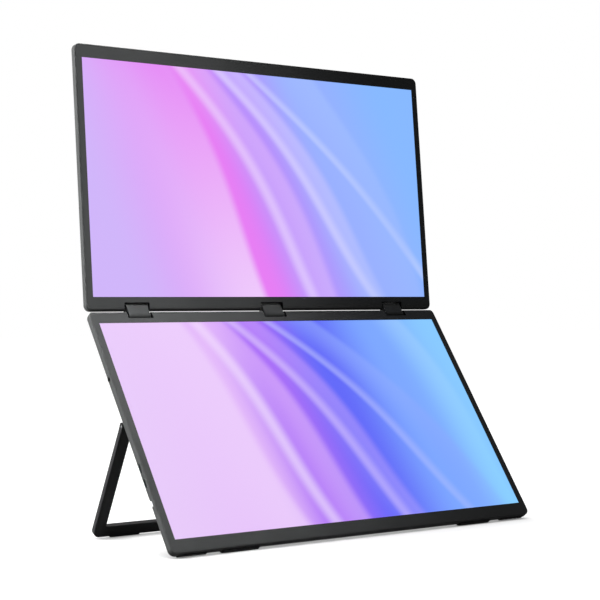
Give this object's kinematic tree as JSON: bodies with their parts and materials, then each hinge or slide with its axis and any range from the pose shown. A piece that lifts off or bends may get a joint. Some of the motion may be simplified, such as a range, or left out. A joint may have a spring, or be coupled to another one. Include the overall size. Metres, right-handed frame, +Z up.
{
  "type": "stacked dual-screen monitor",
  "caption": "Portable stacked dual-screen monitor: flat screens hinged edge to edge on dual-axis hinge blocks, with a fold-out U-shaped stand, rubber feet and a rear arm mount.",
  "frame": {"origin": "on the table, under the middle of the standing object's box", "axes": "+X to the viewer's right along the hinges, +Y away from the viewer, +Z up"},
  "size_m": [0.3576, 0.1562, 0.3942],
  "materials": {
    "case_alloy": "dark grey anodised, fine matte blast",
    "bezel_plastic": "dark grey, fine moulded texture",
    "screen_glass": "matte glass with a soft lilac and blue picture",
    "light_guide": "white",
    "hinge_alloy": "dark grey, satin",
    "steel": "plain",
    "black_steel": "black, satin",
    "stand_metal": "black, fine matte",
    "rubber": "matte black",
    "board": "green solder mask",
    "ribbon": "amber film",
    "socket_plastic": "black",
    "insert_brass": "plain",
    "button_metal": "silver satin"
  },
  "bodies": {
    "lower_screen": {"lower_rear_cover": "case_alloy", "lower_bezel": "bezel_plastic", "lower_lcd_cell": "screen_glass", "lower_backlight": "light_guide", "lower_hinge_brackets": "steel", "lower_hinge_shafts": "steel", "lower_bracket_screws": "steel", "lower_ribbon": "ribbon", "main_board": "board", "main_board_screws": "steel", "usb_c_sockets": "steel", "audio_jack": "socket_plastic", "button_switch": "socket_plastic", "left_speaker": "socket_plastic", "right_speaker": "socket_plastic", "bay_cover": "case_alloy", "bay_cover_screws": "black_steel", "mount_inserts": "insert_brass", "stand_brackets": "black_steel", "stand_bracket_screws": "black_steel", "stand_pins": "steel", "stand_washers": "steel", "front_feet": "rubber", "corner_pads": "rubber"},
    "hinge_blocks": {"hinge_block_left": "hinge_alloy", "hinge_block_centre": "hinge_alloy", "hinge_block_right": "hinge_alloy", "friction_sleeves": "steel", "hinge_ribbon": "ribbon"},
    "upper_screen": {"upper_rear_cover": "case_alloy", "upper_bezel": "bezel_plastic", "upper_lcd_cell": "screen_glass", "upper_backlight": "light_guide", "upper_hinge_brackets": "steel", "upper_hinge_shafts": "steel", "upper_bracket_screws": "steel", "upper_ribbon": "ribbon", "timing_board": "board", "timing_board_screws": "steel"},
    "stand": {"stand_frame": "stand_metal", "stand_pads": "rubber"},
    "menu_button": {"menu_button": "button_metal"}
  },
  "joints": [
    {"name": "lower_hinge", "type": "hinge", "parent": "lower_screen", "child": "hinge_blocks", "pos_m": [0, 0.05021, 0.17497], "axis": [1, 0, 0], "range_deg": [0, 90]},
    {"name": "upper_hinge", "type": "hinge", "parent": "hinge_blocks", "child": "upper_screen", "pos_m": [0, 0.05475, 0.18119], "axis": [1, 0, 0], "range_deg": [-120.7, 59.3]},
    {"name": "stand_pivot", "type": "hinge", "parent": "lower_screen", "child": "stand", "pos_m": [0, -0.00329, 0.09143], "axis": [1, 0, 0], "range_deg": [-64, 26]},
    {"name": "menu_button_press", "type": "slide", "parent": "lower_screen", "child": "menu_button", "axis": [1, 0, 0], "range_m": [0, 0.0003], "stiffness_N_per_m": 1500}
  ]
}
